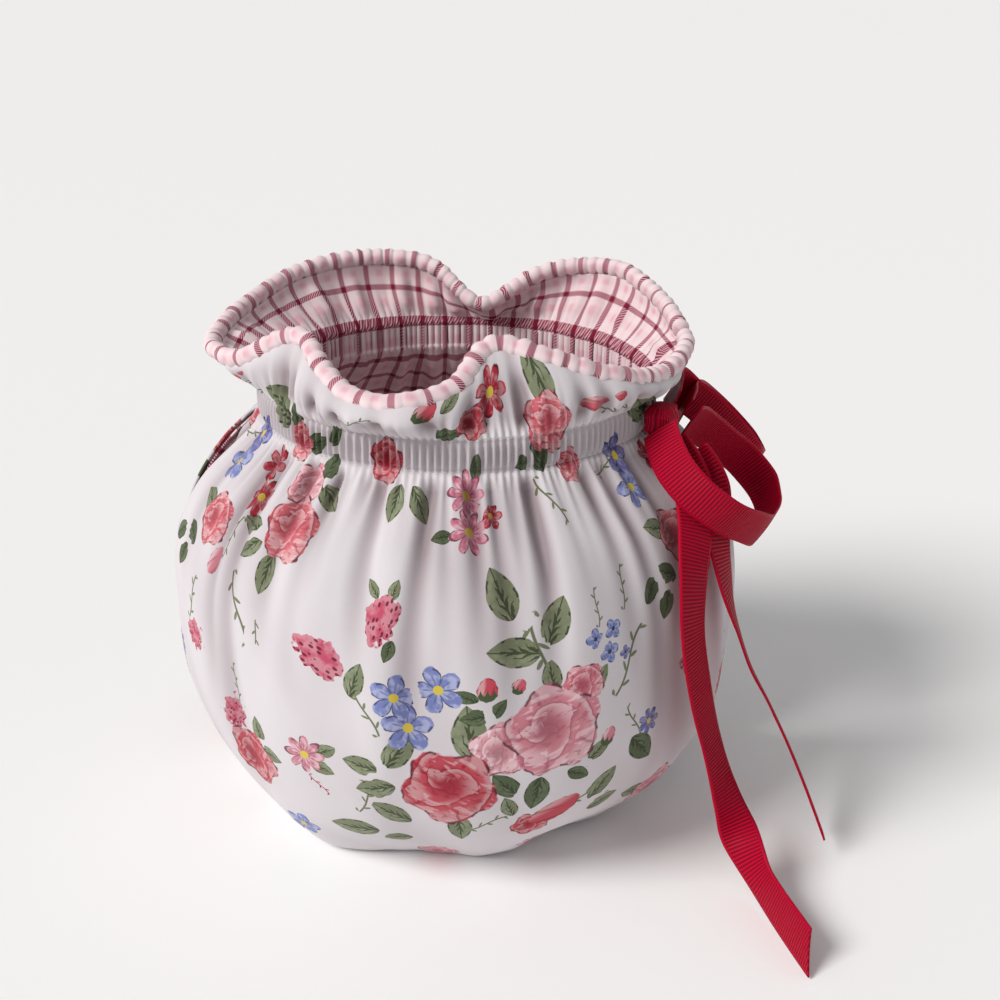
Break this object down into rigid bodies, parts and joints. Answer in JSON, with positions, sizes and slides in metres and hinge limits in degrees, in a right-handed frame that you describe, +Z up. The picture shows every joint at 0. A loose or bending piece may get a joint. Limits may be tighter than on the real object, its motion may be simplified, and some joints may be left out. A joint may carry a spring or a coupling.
{
  "type": "gathered tea cosy",
  "caption": "Gathered, lined cotton tea cosy with elastic neck, frill with rolled edge, spout and handle slits and a ribbon bow.",
  "frame": {"origin": "on the table under the middle of the cosy's own cloth, at the level of its hem; the ribbon is left out of that middle", "axes": "+Z up, +X towards the handle side, -Y towards the front with the bouquet, +Y towards the back"},
  "size_m": [0.2135, 0.213, 0.1674],
  "materials": {
    "printed_cotton": "matt plain-weave cotton printed with garden flowers",
    "check_cotton": "matt plain-weave cotton with a woven crimson check",
    "grosgrain_ribbon": "ribbed crimson ribbon with a soft sheen"
  },
  "bodies": {
    "root": {"printed_panel_front": "printed_cotton", "printed_panel_back": "printed_cotton", "check_lining_front": "check_cotton", "check_lining_back": "check_cotton", "rolled_edge": "check_cotton", "bow_knot": "grosgrain_ribbon", "bow_loop_front": "grosgrain_ribbon", "bow_loop_back": "grosgrain_ribbon", "ribbon_tail_front": "grosgrain_ribbon", "ribbon_tail_back": "grosgrain_ribbon"}
  },
  "joints": []
}
